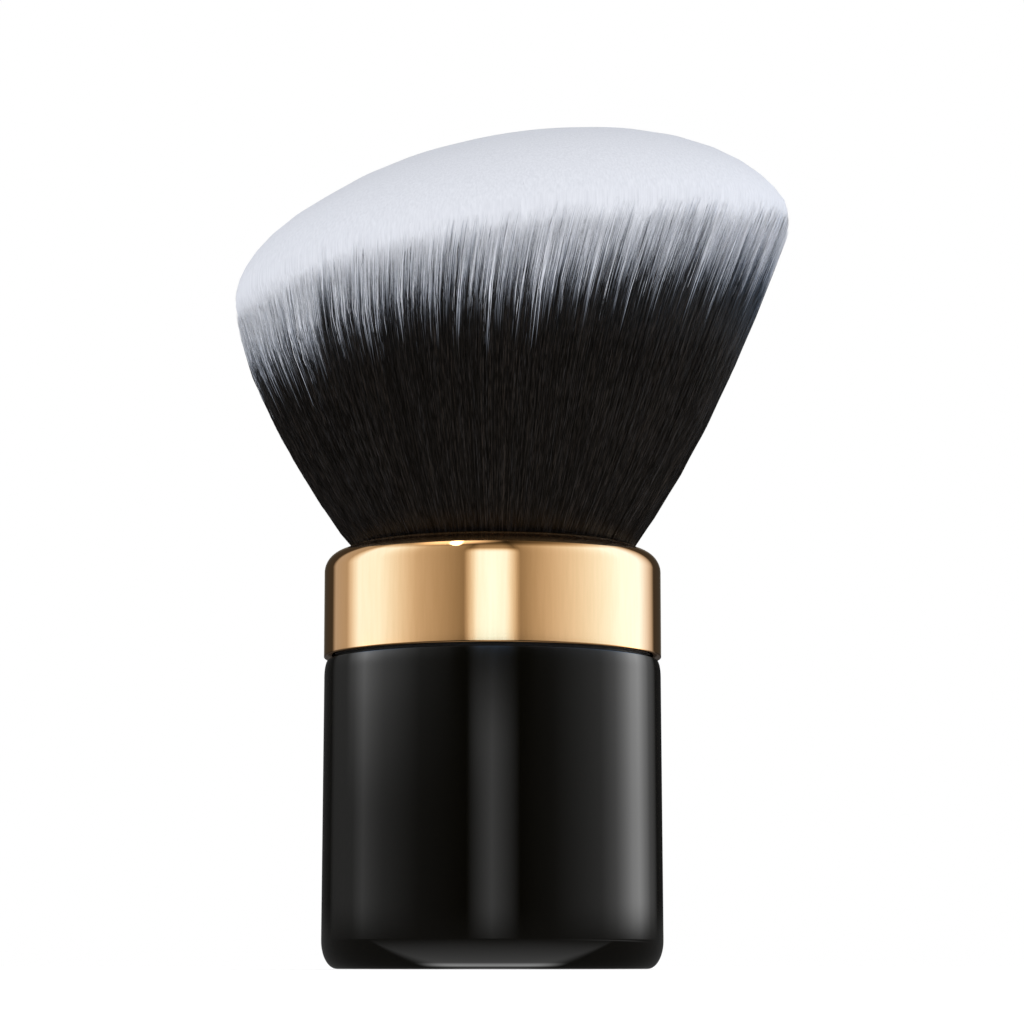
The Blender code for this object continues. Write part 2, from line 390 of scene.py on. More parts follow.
# %% What the handle mirrors
RIM_RISES = (((0.028, 0.052), 0.9), ((0.046, 0.056), 0.5), ((0.0565, 0.0595), 2.6))
RISE_EVERYWHERE = 0.12
LEFT_START = (0.5 - 116 / 360, 0.5 - 104 / 360)
LEFT_END = (-0.10, 0.0)
MIDDLE_REACH = (0.26, 0.285)
MIDDLE_HEIGHT = (0.040, 0.060)
MIDDLE_CUT = 0.8

handle_glow = direction.ramp(around(HANDLE_PANELS))
higher = sum(z.step(*heights) * gain for heights, gain in RIM_RISES)
left = direction.step(*LEFT_START) * (1 - x.step(*LEFT_END))
middle = (0 - y).step(*MIDDLE_REACH) * z.step(*MIDDLE_HEIGHT)
handle_glow = handle_glow * (1 + higher * (left + RISE_EVERYWHERE)) * (1 - middle * MIDDLE_CUT)
rise = (1 + RISE_EVERYWHERE) * sum(gain for heights, gain in RIM_RISES)
print("at the rim the left strip has", round(1 + rise, 1), "times its light")

# %% [markdown]
# The rounded foot mirrors the floor in front of it: a pale patch that fades with distance, with a fine
# bright line right under the round. Further out, to the right, lies one more faint patch.
# Nearer than the line the floor is dimmed: a painted contact shadow, as the foot mirrors it.

# %% What the foot mirrors
FLOOR_FADE = 0.0037
FADE_START = 0.013
FADE_LEAST = 0.0015
FLOOR_EDGE = (0.0145, 0.0159)
FLOOR_LEAST = 0.007
LINE_START = (0.0159, 0.0162)
LINE_END = (0.0163, 0.0167)
SHADOW_BEFORE_LINE, IN_LINE, AFTER_LINE = 0.2, 3.4, 1.0
PATCH_SIDE = (0.06, 0.12)
PATCH_BACK = (0.0, 0.06)
PATCH_REACH = (0.06, 0.20)
PATCH_GLOW = 0.08

nearness = FLOOR_FADE / PANEL_STRENGTH / start.math("MAXIMUM", radius - FADE_START, FADE_LEAST)
line_drop = radius.step(*LINE_END) * (IN_LINE - AFTER_LINE)
# Inside the line the level drops to a painted contact shadow.
line = radius.step(*LINE_START) * (IN_LINE - SHADOW_BEFORE_LINE - line_drop) + SHADOW_BEFORE_LINE
floor_glow = nearness * line * (0 - y).step(*FLOOR_EDGE) + FLOOR_LEAST
patch = x.step(*PATCH_SIDE) * (1 - y.step(*PATCH_BACK)) * (1 - radius.step(*PATCH_REACH))
floor_glow = floor_glow + patch * PATCH_GLOW
print("the bright line lies", round(1000 * LINE_START[0], 1), "mm from the axis")

# %% [markdown]
# First the floor and the panels of handle and collar take their heights on the wall. Then a small lamp in
# the ceiling brightens the left of the collar's shoulder. A slanted oval in its glow, as bright as the drum
# can be, makes the one hard glint on the rim.

# %% The small lamp, its glint, and the drum itself
PANEL_FOOT = (0.0038, 0.0138)
PANEL_JOIN = (0.0594, 0.0598)
LAMP_PLACE = (-0.090, -0.085, WALL_HEIGHT)
LAMP_REACH = (0.02, 0.125)
LAMP_LEVEL = 0.2
GLINT_PLACE = (-0.0965, -0.137)
GLINT_HALF_SIZE = (0.022, 0.11)
GLINT_SLANT = 0.32
GLINT_EDGE = (0.3, 1.0)
GLINT_HEIGHT = (0.28, 0.29)
DRUM_DROP = 0.00002

glow = z.step(*PANEL_FOOT).blend(floor_glow, handle_glow)
glow = z.step(*PANEL_JOIN).blend(glow, collar_glow)
away = place.node("VectorMath", {"operation": "DISTANCE"}, {0: place, 1: LAMP_PLACE}, output="Value")
lamp = (1 - away.step(*LAMP_REACH)) * LAMP_LEVEL
lamp_inputs = {MIX_SHARE: 1.0, MIX_FIRST: glow, MIX_SECOND: lamp}
glow = start.node("Mix", {"data_type": "RGBA", "blend_type": "ADD"}, lamp_inputs, output=MIX_RESULT)
ahead = y - GLINT_PLACE[1]
aside = (x - GLINT_PLACE[0] - ahead * GLINT_SLANT) / GLINT_HALF_SIZE[0]
ahead = ahead / GLINT_HALF_SIZE[1]
glint = (1 - (aside * aside + ahead * ahead).step(*GLINT_EDGE)) * z.step(*GLINT_HEIGHT)
glow = glint.blend(glow, (1, 1, 1, 1))
connect(shader, Emission_Color=glow)

mesh = drum(True)
bmesh.ops.translate(mesh, verts=mesh.verts, vec=(0, 0, -DRUM_DROP))
panel_drum = stage_piece("panel_drum", mesh, panels)
unseen(panel_drum, "camera", "diffuse", "shadow")
print("the drum's shader has", len(panels.node_tree.nodes), "nodes")

# %% [markdown]
# The world is white to the camera and to mirrors, but lights the brush with only a part of that. The soft
# lamp hangs above the brush, to the right and in front. A lamp's energy is all the light it sends out, so
# it is worked out from the brightness that its disc should have.

# %% The white surroundings
WORLD_STRENGTH = 0.42

world = bpy.data.worlds.new("white_room")
bpy.context.scene.world = world
world.use_nodes = True
start = Shade(world.node_tree)
seen = start.node("LightPath", output="Is Camera Ray")
for ray in ("Is Glossy Ray", "Is Transmission Ray"):
    seen = start.math("MAXIMUM", seen, start.node("LightPath", output=ray))
strength = seen.between(WORLD_STRENGTH, 1.0)
background = world.node_tree.nodes["Background"]
background.inputs["Color"].default_value = (1, 1, 1, 1)
world.node_tree.links.new(strength.output, background.inputs["Strength"])
print("the world lights the brush with", WORLD_STRENGTH)

# %% The soft light above
TOP_LIGHT_SIZE = 0.30
TOP_LIGHT_RADIANCE = 1.5
TOP_LIGHT_PLACE = Vector((0.16, -0.14, 0.42))
TOP_LIGHT_AIM = Vector((0, 0, 0.06))

top_light = bpy.data.objects.new("top_light", bpy.data.lights.new("top_light", "AREA"))
top_light.data.shape = "DISK"
top_light.data.size = TOP_LIGHT_SIZE
disc_area = math.pi * TOP_LIGHT_SIZE**2 / 4
top_light.data.energy = TOP_LIGHT_RADIANCE * math.pi * disc_area
top_light.location = TOP_LIGHT_PLACE
top_light.rotation_euler = (TOP_LIGHT_PLACE - TOP_LIGHT_AIM).to_track_quat("Z", "Y").to_euler()
bpy.context.scene.collection.objects.link(top_light)
unseen(top_light, "glossy")
print("the top light has", round(top_light.data.energy, 2), "watts")

# %% [markdown]
# ## The handle
# The handle is a moulded cup of black plastic under clear gloss. A turned piece starts as half of its
# outline, and a spin about Z makes the rest. The CAD handle has nearly the same outline in 64 flat steps. A
# mirror finish would show each of them, so this one has three times as many, and finer corners.

# %% Turn an outline into a piece
WELD_DISTANCE = 0.000001
TURN_STEPS = 192
CORNER_STEPS = 14
SHARP_ANGLE = math.radians(40)
LONG_WALL = 0.001
SUPPORT = 0.00006


def add_piece(name, mesh, material, slot, *nodes):
    """A finished piece that rides on the brush and stands for CAD nodes."""
    data = bpy.data.meshes.new(name)
    mesh.to_mesh(data)
    mesh.free()
    data.materials.append(material)
    thing = bpy.data.objects.new(name, data)
    bpy.context.scene.collection.objects.link(thing)
    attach(thing, "root")
    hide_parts(*nodes)
    return thing


def corner(centre, width, height, start, end, steps=CORNER_STEPS):
    """Part of an ellipse as (radius, height) points, between two angles in degrees."""
    angles = np.radians(np.linspace(start, end, steps + 1))
    return [(centre[0] + width * math.cos(angle), centre[1] + height * math.sin(angle)) for angle in angles]


def with_support(outline):
    """Adds a point close to each end of the long walls, so that smooth shading keeps them straight."""
    held = [outline[0]]
    for start, end in zip(outline, outline[1:]):
        length = math.dist(start, end)
        if length > LONG_WALL:
            for share in (SUPPORT / length, 1 - SUPPORT / length):
                held.append(tuple(a + (b - a) * share for a, b in zip(start, end)))
        held.append(end)
    return held


def turned(name, outline, material, slot, node):
    """A body of revolution about Z from its half outline."""
    mesh = bmesh.new()
    outline = with_support(outline)
    points = [mesh.verts.new((radius, 0, height)) for radius, height in outline]
    edges = [mesh.edges.new(pair) for pair in zip(points, points[1:])]
    if outline[0][0] > 0:
        edges.append(mesh.edges.new((points[-1], points[0])))
    bmesh.ops.spin(
        mesh,
        geom=points + edges,
        axis=(0, 0, 1),
        cent=(0, 0, 0),
        angle=2 * math.pi,
        steps=TURN_STEPS,
        use_merge=True,
    )
    bmesh.ops.remove_doubles(mesh, verts=mesh.verts, dist=WELD_DISTANCE)
    bmesh.ops.recalc_face_normals(mesh, faces=mesh.faces)
    piece = add_piece(name, mesh, material, slot, node)
    piece.data.shade_smooth()
    piece.data.set_sharp_from_angle(angle=SHARP_ANGLE)
    print(name, "has", len(piece.data.polygons), "faces")
    return piece


# %% [markdown]
# Lacquer isn't a perfect mirror. Its roughness changes a little from place to place, where it was wiped,
# and its surface has a very faint orange peel. Both are noise in the piece's own coordinates.

# %% Gloss black lacquer
LACQUER_ROUGHNESS = (0.025, 0.045)
PEEL_DEPTH = 0.0000012

lacquer, shader, start = new_material(
    "gloss_black_lacquer",
    Base_Color=(0.0022, 0.0019, 0.0012, 1.0),
    IOR=1.5,
)
place = start.place()
wipes = place.scaled(1, 1, 0.25).noise(scale=900, detail=3.0)
orange_peel = place.noise(scale=420, detail=1.0)
connect(shader, Roughness=wipes.between(*LACQUER_ROUGHNESS), Normal=orange_peel.bump(PEEL_DEPTH))

# %% Turn the handle
GRIP_RADIUS = 0.0170
GRIP_TAPER = 0.00005
HANDLE_HEIGHT = 0.0307
HANDLE_BORE = 0.0153
HANDLE_FLOOR = 0.0030
FOOT_ROUND = (0.0016, 0.0028)
RIM_ROUND = (0.0004, 0.0017)
REBATE_RADIUS = 0.01625
LEDGE_HEIGHT = 0.0291
BORE_FILLET = 0.0012
FILLET_STEPS = 5

foot_radius = GRIP_RADIUS + GRIP_TAPER
rim_radius = GRIP_RADIUS - GRIP_TAPER
foot = corner((foot_radius - FOOT_ROUND[0], FOOT_ROUND[1]), *FOOT_ROUND, -90, 0)
rim = corner((rim_radius - RIM_ROUND[0], HANDLE_HEIGHT - RIM_ROUND[1]), *RIM_ROUND, 0, 90)
rebate = [(REBATE_RADIUS, HANDLE_HEIGHT), (REBATE_RADIUS, LEDGE_HEIGHT), (HANDLE_BORE, LEDGE_HEIGHT)]
fillet_middle = (HANDLE_BORE - BORE_FILLET, HANDLE_FLOOR + BORE_FILLET)
bore = corner(fillet_middle, BORE_FILLET, BORE_FILLET, 0, -90, FILLET_STEPS)
outline = [(0, 0), *foot, *rim, *rebate, *bore, (0, HANDLE_FLOOR)]
handle = turned("gloss_handle", outline, lacquer, "black_gloss", "handle_shell")

# %% [markdown]
# The rim curves in by less than half a millimetre, yet a mirror finish would show that curve as a broad
# dark band under the collar. On the real handle the strips of light run straight up to the joint. So the
# shape stays, and the normals of the rim's outside are set level, as they are on the wall below.

# %% Level the shading of the rim
LEVEL_START = HANDLE_HEIGHT - RIM_ROUND[1] - 0.0002
LEVEL_END = HANDLE_HEIGHT - 0.00006
LEVEL_OUTSIDE = REBATE_RADIUS + 0.00005

normals = [tuple(loop_corner.vector) for loop_corner in handle.data.corner_normals]
levelled = 0
for loop in handle.data.loops:
    spot = handle.data.vertices[loop.vertex_index].co
    level = Vector((spot.x, spot.y, 0))
    if LEVEL_START < spot.z < LEVEL_END and level.length > LEVEL_OUTSIDE:
        normals[loop.index] = tuple(level.normalized())
        levelled += 1
handle.data.normals_split_custom_set(normals)
print("levelled the normals of", levelled, "corners")

# %% [markdown]
# ## The collar
# A drawn metal ring, anodised or plated gold and then polished. Its shoulder is rolled inwards to a small
# bead round the mouth. That bead matters: it catches a hairline of light between the dark bristles and the
# shoulder. The metal's colour and bump follow long soft marks of drawing, and its roughness fine rings of
# polishing.

# %% Polished gold
GOLD_SHADES = ((0.82, 0.45, 0.188, 1.0), (0.86, 0.475, 0.205, 1.0))
GOLD_ROUGHNESS = (0.03, 0.06)
DRAWING_DEPTH = 0.000001
DRAWING_GRAIN = (16, 60)
POLISH_GRAIN = (2, 9000)

gold, shader, start = new_material("polished_gold", Metallic=1.0)
x, y, z = start.place().axes()
turn = start.math("ARCTAN2", x, y)
drawn = start.vector(turn * DRAWING_GRAIN[0], z * DRAWING_GRAIN[1], 0.0).noise(scale=3.0, detail=3.0)
polish = start.vector(turn * POLISH_GRAIN[0], z * POLISH_GRAIN[1], 0.0).noise(scale=1.0, detail=2.0)
connect(shader, Base_Color=drawn.step(0.2, 0.8).blend(*GOLD_SHADES))
connect(shader, Roughness=polish.between(*GOLD_ROUGHNESS), Normal=drawn.bump(DRAWING_DEPTH))

# %% Turn the collar
COLLAR_BOTTOM = 0.0310
COLLAR_TOP = 0.0420
COLLAR_WALL = 0.0008
COLLAR_EDGE = 0.0001
BEAD_RADIUS = 0.0004
BEAD_MIDDLE = 0.0146
SHOULDER_START = 0.0396
SHOULDER_ROUND = 0.0021
INNER_ROUND = 0.0016

edge_middle = (GRIP_RADIUS - COLLAR_EDGE, COLLAR_BOTTOM + COLLAR_EDGE)
shoulder_middle = (GRIP_RADIUS - SHOULDER_ROUND, SHOULDER_START)
bead_middle = (BEAD_MIDDLE, COLLAR_TOP - BEAD_RADIUS)
inner_middle = (GRIP_RADIUS - COLLAR_WALL - INNER_ROUND, SHOULDER_START)
edge = corner(edge_middle, COLLAR_EDGE, COLLAR_EDGE, -90, 0, steps=4)
shoulder = corner(shoulder_middle, SHOULDER_ROUND, SHOULDER_ROUND, 0, 85)
bead = corner(bead_middle, BEAD_RADIUS, BEAD_RADIUS, 20, 265)
inside = corner(inner_middle, INNER_ROUND, INNER_ROUND, 88, 0, steps=8)
outline = [*edge, *shoulder, *bead, *inside, (GRIP_RADIUS - COLLAR_WALL, COLLAR_BOTTOM)]
turned("gold_collar", outline, gold, "gold_metal", "collar_ring")

# %% [markdown]
# ## The shape of the tuft
# The tuft leaves the collar as a round bundle, flares to an oval head, leans to its high side and is cut to
# a slanted dome. Each bristle has a place in a disc of radius 1. Where it runs at any height follows from
# that place, so bristles that share this map can never cross.

# %% How the tuft spreads, leans and is cut
ROOT_RADIUS = 0.0136
ROOT_HEIGHT = 0.0409
MOUTH_SPREAD = 0.01425
MOUTH_ROOM = 0.0006
HEAD_HALF_WIDTH = 0.0287
HEAD_HALF_DEPTH = 0.0233
HEAD_WIDEST = 0.0773
SPREAD_POWER = 1.77
HEAD_LEAN = 0.0028
HEAD_SWAY = 0.0002
LEAN_START = 0.0582
DOME_RIM = 0.0691
DOME_HEIGHT = 0.0152
DOME_POWER = 2.22
DOME_SLOPE = 0.131


def share_between(value, low, high):
    """How far a value is from low to high, from 0 to 1."""
    return np.clip((value - low) / (high - low), 0.0, 1.0)


def spread(height, widest):
    """The half width, or half depth, of the tuft at a height."""
    mouth = (MOUTH_SPREAD - ROOT_RADIUS) * share_between(height, ROOT_HEIGHT, COLLAR_TOP + MOUTH_ROOM)
    flare = 1 - (1 - share_between(height, COLLAR_TOP, HEAD_WIDEST)) ** SPREAD_POWER
    return ROOT_RADIUS + mouth + (widest - MOUTH_SPREAD) * flare


def in_head(across, back, height):
    """X and Y at a height, of a bristle with this place in the unit disc."""
    rise = share_between(height, COLLAR_TOP, HEAD_WIDEST)
    lean = HEAD_LEAN * share_between(height, LEAN_START, HEAD_WIDEST) ** 2
    lean = lean - HEAD_SWAY * 4 * rise * (1 - rise)
    return lean + spread(height, HEAD_HALF_WIDTH) * across, spread(height, HEAD_HALF_DEPTH) * back


def cut_height(across, back):
    """The height of the dome over a place in the unit disc."""
    dome = np.sqrt(np.clip(1 - np.hypot(across, back) ** DOME_POWER, 0, 1))
    return DOME_RIM + DOME_SLOPE * HEAD_HALF_WIDTH * across + DOME_HEIGHT * dome


print("the dome's middle is", round(1000 * float(cut_height(0, 0)), 1), "mm above the table")

# %% [markdown]
# The border between dark and white isn't parallel to the cut. It runs up from the low side to the high
# side, with a few bends, so it is written as heights at ten places from left to right.

# %% Where the dark length of a bristle turns white
TURN_PLACES = (-0.0250, -0.0190, -0.0140, -0.0080, 0.0, 0.0080, 0.0150, 0.0210, 0.0250, 0.0305)
TURN_HEIGHTS = (0.0620, 0.0636, 0.0650, 0.0657, 0.0671, 0.0685, 0.0690, 0.0708, 0.0706, 0.0724)


def turn_white(across):
    """The height at which the outer bristles turn from dark to white."""
    return np.interp(across * HEAD_HALF_WIDTH + HEAD_LEAN / 2, TURN_PLACES, TURN_HEIGHTS)


print("the white starts at", [round(1000 * float(turn_white(side)), 1) for side in (-1, 0, 1)], "mm")

# %% [markdown]
# ## Bristle colours
# The bristles are synthetic, dyed black, with their tips left a cool white. The dye ends at a slightly
# different height on each one. So each strand carries its own map: across it, one of 64 columns that gives
# it a shade of its own, and along it, a height that is 0.5 where that strand turns white.
# Along the dark part, a noise over the map lightens the black in streaks: painted sheen.

# %% Two-tone bristle
MAP_NAME = "OFBake"
MAP_COLUMNS = 64
MAP_LENGTH = 0.100
DYE_SOFTNESS = 0.0034
DYE = (0.0022, 0.0015, 0.0010, 1.0)
# Lighter darks, reached by each strand's own tone and by the painted sheen.
TONE_AND_SHEEN_DARKS = ((0.028, 0.021, 0.017, 1.0), (0.026, 0.025, 0.027, 1.0))
WHITES = ((0.81, 0.835, 0.905, 1.0), (0.835, 0.86, 0.93, 1.0))
BLUISH_END = (0.66, 0.76, 0.95, 1.0)
GLEAM_SCALE = (3.7, 80)
GLEAM_STRENGTH = 1.3
BRISTLE_ROUGHNESS = (0.38, 0.58)

bristle, shader, start = new_material(
    "two_tone_bristle",
    Specular_IOR_Level=0.28,
    Specular_Tint=(1.0, 0.9, 0.78, 1.0),
)
column, along = start.node("UVMap", {"uv_map": MAP_NAME}).axes()[:2]
strand = start.math("FLOOR", column * MAP_COLUMNS)
chance = start.node("TexWhiteNoise", {"noise_dimensions": "1D"}, {"W": strand})
other = start.node("TexWhiteNoise", {"noise_dimensions": "1D"}, {"W": strand + MAP_COLUMNS})
# gleam is painted sheen: lighter streaks along each dark strand.
gleam = start.vector(strand * GLEAM_SCALE[0], along * GLEAM_SCALE[1], 0.0).noise(scale=1.0, detail=1.0)
dark = (chance * gleam.step(0.35, 0.65) * GLEAM_STRENGTH).blend(DYE, other.blend(*TONE_AND_SHEEN_DARKS))
softness = DYE_SOFTNESS / MAP_LENGTH
whiteness = along.step(0.5 - softness, 0.5 + softness)
pale = whiteness.blend(BLUISH_END, chance.blend(*WHITES))
connect(shader, Base_Color=whiteness.blend(dark, pale), Roughness=whiteness.between(*BRISTLE_ROUGHNESS))

# %% [markdown]
# ## Growing the strands
# A strand is a thin three-sided spindle: a circle of three corners, extruded ring by ring and closed in a
# point. One is made, an Array modifier makes thousands of it, and then NumPy moves every copy's
# rings to where its bristle runs. That is far faster than making each one alone, and every strand stays
# closed.


# %% Make one strand and its crowd
def one_strand(rings):
    """A closed strand whose rings lie at these shares of its length, with a radius of 1."""
    mesh = bmesh.new()
    bmesh.ops.create_circle(mesh, cap_ends=True, segments=3, radius=1.0)
    top = mesh.faces[:][0]
    for share in rings[1:]:
        (top,) = bmesh.ops.extrude_discrete_faces(mesh, faces=[top])["faces"]
        for point in top.verts:
            point.co.z = share
    tip = bmesh.ops.poke(mesh, faces=[top])["verts"][0]
    tip.co.z = 1.0
    close_foot(mesh, 3)
    return mesh


def close_foot(mesh, sides):
    """Closes the ring that an extruded column leaves open at its foot, and turns all faces outwards."""
    foot = [edge for edge in mesh.edges if edge.is_boundary]
    bmesh.ops.holes_fill(mesh, edges=foot, sides=sides)
    bmesh.ops.recalc_face_normals(mesh, faces=mesh.faces)


def crowd_of_strands(name, rings, count):
    """Many copies of one strand in one mesh, made by an Array modifier that is then applied."""
    piece = add_piece(name, one_strand(rings), bristle, "bristle", "bristle_tuft")
    copies = piece.modifiers.new("copies", "ARRAY")
    copies.count = count
    copies.use_relative_offset = False
    grown = bpy.data.meshes.new_from_object(piece.evaluated_get(bpy.context.evaluated_depsgraph_get()))
    piece.modifiers.clear()
    piece.data = grown
    piece.data.name = name
    return piece


# %% [markdown]
# A strand thinner than a pixel flickers if it is lit as a tiny cylinder, where a real tuft looks like
# velvet. So each strand's normals are turned most of the way towards the normal of the tuft's own surface,
# as is done for grass and fur. What is left of its own roundness still shows as fine streaks.

# %% Soften the normals of a crowd
DARK_SOFT_SHARE = 0.55
PALE_SOFT_SHARE = 0.99
SOFT_REACH = (-0.003, 0.003)
TURN_OVER = 0.013
FLARE_SPAN = 0.001
STEEPEST_DOME = 0.02
NEAR_AXIS = 0.001
TINY = 1e-6


def unit(vectors):
    """Vectors brought to a length of 1."""
    return vectors / np.maximum(np.linalg.norm(vectors, axis=-1, keepdims=True), TINY)


def tuft_normal(across, back, height, cut):
    """The outward direction of the tuft's surface near a strand: sideways below, up over the dome."""
    wider = spread(height + FLARE_SPAN / 2, HEAD_HALF_WIDTH)
    flare = (wider - spread(height - FLARE_SPAN / 2, HEAD_HALF_WIDTH)) / FLARE_SPAN
    side_x, side_y = across / HEAD_HALF_WIDTH, back / HEAD_HALF_DEPTH
    length = np.maximum(np.hypot(side_x, side_y), TINY)
    side = unit(np.stack(np.broadcast_arrays(side_x / length, side_y / length, -flare), axis=-1))
    radius = np.maximum(np.hypot(across, back), NEAR_AXIS)
    fall = DOME_HEIGHT * DOME_POWER / 2 * radius ** (DOME_POWER - 2)
    fall = fall / np.sqrt(np.clip(1 - radius**DOME_POWER, STEEPEST_DOME, 1))
    over_x = fall * across / HEAD_HALF_WIDTH - DOME_SLOPE
    over_y = fall * back / HEAD_HALF_DEPTH
    over = unit(np.stack(np.broadcast_arrays(over_x, over_y, np.ones_like(height)), axis=-1))
    turned_over = share_between(height, cut - TURN_OVER, cut)[..., None]
    return unit(side * (1 - turned_over) + over * turned_over)


def soften(piece, across, back, height, cut, white):
    """Turns the normals of a crowd towards the tuft's own surface, most of all where it is pale."""
    own = np.empty(len(piece.data.vertices) * 3, dtype=np.float32)
    piece.data.vertices.foreach_get("normal", own)
    whole = tuft_normal(across[:, None], back[:, None], height, cut[:, None]).reshape(-1, 3)
    paleness = share_between(height - white[:, None], *SOFT_REACH).reshape(-1, 1)
    soft = DARK_SOFT_SHARE + (PALE_SOFT_SHARE - DARK_SOFT_SHARE) * paleness
    mixed = unit(own.reshape(-1, 3) * (1 - soft) + whole * soft)
    piece.data.normals_split_custom_set_from_vertices(mixed)


# %% [markdown]
# ## Combing
# A dark bristle wanders a little between its neighbours and shows whichever of its three faces it likes, so
# the dark part looks fibrous. The white tips of the real tuft are as smooth as felt. There each strand lies
# closer to one shared surface, wanders less and turns a flat face outwards. Its thickness is even and then
# draws out to a tip.

# %% Comb the crowd into place
STRAND_SEED = 11
SURFACE_SHARE = 0.992
SETTLE = 0.05
PALE_REACH = (-0.002, 0.004)
PALE_CALM = 0.8
WANDER_LIMIT = 1.5
WANDER_START = (0.0, 0.1)
TIP_THINNING = 0.75
TIP_START = 0.6
TIP_POWER = 1.5
COLUMN_REACH = 0.3
MAP_LEVELS = (0.02, 0.98)


def settled(across, back):
    """How much further out a side bristle lies once it is pale, where all share one smooth surface."""
    place = np.hypot(across, back)
    return (SURFACE_SHARE + (place - SURFACE_SHARE) * SETTLE) / place


def taper(along):
    """A strand's thickness along its length: even, then drawn out to a fine tip."""
    return 1 - TIP_THINNING * share_between(along, TIP_START, 1.0) ** TIP_POWER


def own_turn(chance, points, across, back, paleness):
    """How far a strand is turned about itself: by chance where dark, a flat face outwards where pale."""
    first = math.atan2(points[0, 0, 1], points[0, 0, 0])
    facing = np.arctan2(back / HEAD_HALF_DEPTH, across / HEAD_HALF_WIDTH) + math.pi - first
    return facing[:, None] + chance.uniform(-math.pi, math.pi, len(across))[:, None] * (1 - paleness)


def wandering(chance, along, across, back, paleness, weave):
    """A strand's rings as places in the unit disc. One that weaves also settles where it is pale."""
    rings = np.unique(along[0])
    steps = chance.normal(0, 1, (2, len(across), len(rings)))[:, :, np.searchsorted(rings, along[0])]
    started = share_between(along, *WANDER_START)
    outwards = 1 + (settled(across, back) - 1)[:, None] * paleness * (weave > 0)
    outwards = outwards + weave * (1 - PALE_CALM * paleness) * np.minimum(steps[0], WANDER_LIMIT) * started
    aside = weave * steps[1] * started
    across, back = across[:, None], back[:, None]
    return across * outwards - back * aside, back * outwards + across * aside


def map_strands(piece, chance, points, height, white):
    """Gives each strand a column of the map, and its height from the place where it turns white."""
    owners = np.empty(len(piece.data.loops), dtype=np.int32)
    piece.data.loops.foreach_get("vertex_index", owners)
    column = chance.integers(0, MAP_COLUMNS, len(points))[:, None] + 0.5 + COLUMN_REACH * points[:, :, 0]
    level = np.clip(0.5 + (height - white[:, None]) / MAP_LENGTH, *MAP_LEVELS)
    uv = np.stack((column / MAP_COLUMNS, level), axis=2).reshape(-1, 2)[owners]
    piece.data.uv_layers.new(name=MAP_NAME).uv.foreach_set("vector", uv.astype(np.float32).ravel())


def comb(piece, chance, across, back, root, tip, white, width, sway, weave=0.0):
    """Moves each strand of a crowd to its bristle, and gives it its map."""
    points = np.empty(len(piece.data.vertices) * 3)
    piece.data.vertices.foreach_get("co", points)
    points = points.reshape(len(across), -1, 3)
    along = points[:, :, 2]
    height = root[:, None] + (tip - root)[:, None] * along
    paleness = share_between(height - white[:, None], *PALE_REACH)
    turn = own_turn(chance, points, across, back, paleness)
    middle_x, middle_y = in_head(*wandering(chance, along, across, back, paleness, weave), height)
    radius = width[:, None] / 2 * taper(along)
    swaying = along**2 * (1 - PALE_CALM * paleness)
    round_x = points[:, :, 0] * np.cos(turn) - points[:, :, 1] * np.sin(turn)
    round_y = points[:, :, 0] * np.sin(turn) + points[:, :, 1] * np.cos(turn)
    placed_x = middle_x + sway[0][:, None] * swaying + radius * round_x
    placed_y = middle_y + sway[1][:, None] * swaying + radius * round_y
    piece.data.vertices.foreach_set("co", np.stack((placed_x, placed_y, height), axis=2).ravel())
    map_strands(piece, chance, points, height, white)
    piece.data.update()
    piece.data.shade_smooth()
    soften(piece, across, back, height, cut_height(across, back), white)
    print(piece.name, "has", len(across), "strands and", len(piece.data.polygons), "faces")


# %% Scatter places over the unit disc
def scatter(chance, count, inner, outer):
    """Random places between two radii of the unit disc."""
    radius = np.sqrt(chance.uniform(inner**2, outer**2, count))
    angle = chance.uniform(0, 2 * math.pi, count)
    return radius * np.cos(angle), radius * np.sin(angle)


# %% [markdown]
# ## The ragged border
# Where black meets white, the tuft has teeth. They come from clumps of bristles that were dyed together, in
# three sizes, each given by its number round the tuft, its number from the middle outwards, and how far it
# strays. On top of that each bristle strays by itself, a few have a long white tail, and a few turn white
# late.

# %% Clumps: neighbours that turn white together
CLUMPS = ((900, 60, 0.0010), (330, 40, 0.0007), (90, 25, 0.0006))
CLUMP_TABLE = 4096
RING_STRIDE = 1009
HAIR_SPREAD = 0.0017
# The usual length, the longest, and the share of the strands that have it.
TAILS = (0.0020, 0.0040, 0.03)
LATE_ONES = (0.0025, 0.0050, 0.04)


def clumps(across, back, sectors, rings):
    """Which clump a strand belongs to, by its angle and its depth in the tuft."""
    ring = np.floor(np.hypot(across, back) * rings).astype(int)
    shift = np.random.default_rng(STRAND_SEED).uniform(0, 1, rings + 1)[ring]
    sector = np.floor((np.arctan2(back, across) / (2 * math.pi) + 0.5 + shift) * sectors).astype(int)
    return (ring * RING_STRIDE + sector) % CLUMP_TABLE


def for_a_few(chance, count, usual, limit, share):
    """A random length for a share of the strands, and 0 for the others."""
    return np.minimum(chance.exponential(usual, count), limit) * (chance.uniform(0, 1, count) < share)


def white_heights(chance, across, back):
    """Where each strand turns white, with the raggedness of clumps and of single bristles."""
    heights = turn_white(across)
    for number, (sectors, rings, stray) in enumerate(CLUMPS):
        strays = np.random.default_rng(STRAND_SEED + 1 + number).normal(0, stray, CLUMP_TABLE)
        heights = heights + strays[clumps(across, back, sectors, rings)]
    tails = for_a_few(chance, len(across), *TAILS)
    late = for_a_few(chance, len(across), *LATE_ONES)
    return heights + chance.normal(0, HAIR_SPREAD, len(across)) - tails + late


# %% [markdown]
# ## The side and the top
# Only the outermost bristles show at the side. They start inside the collar and end in the white part,
# where their tips sink into the smooth body that follows. Their ends stop at different heights, because
# a crowd of tips at one height would show as a line. Over the dome, short strands stand side by side and
# end at the cut.

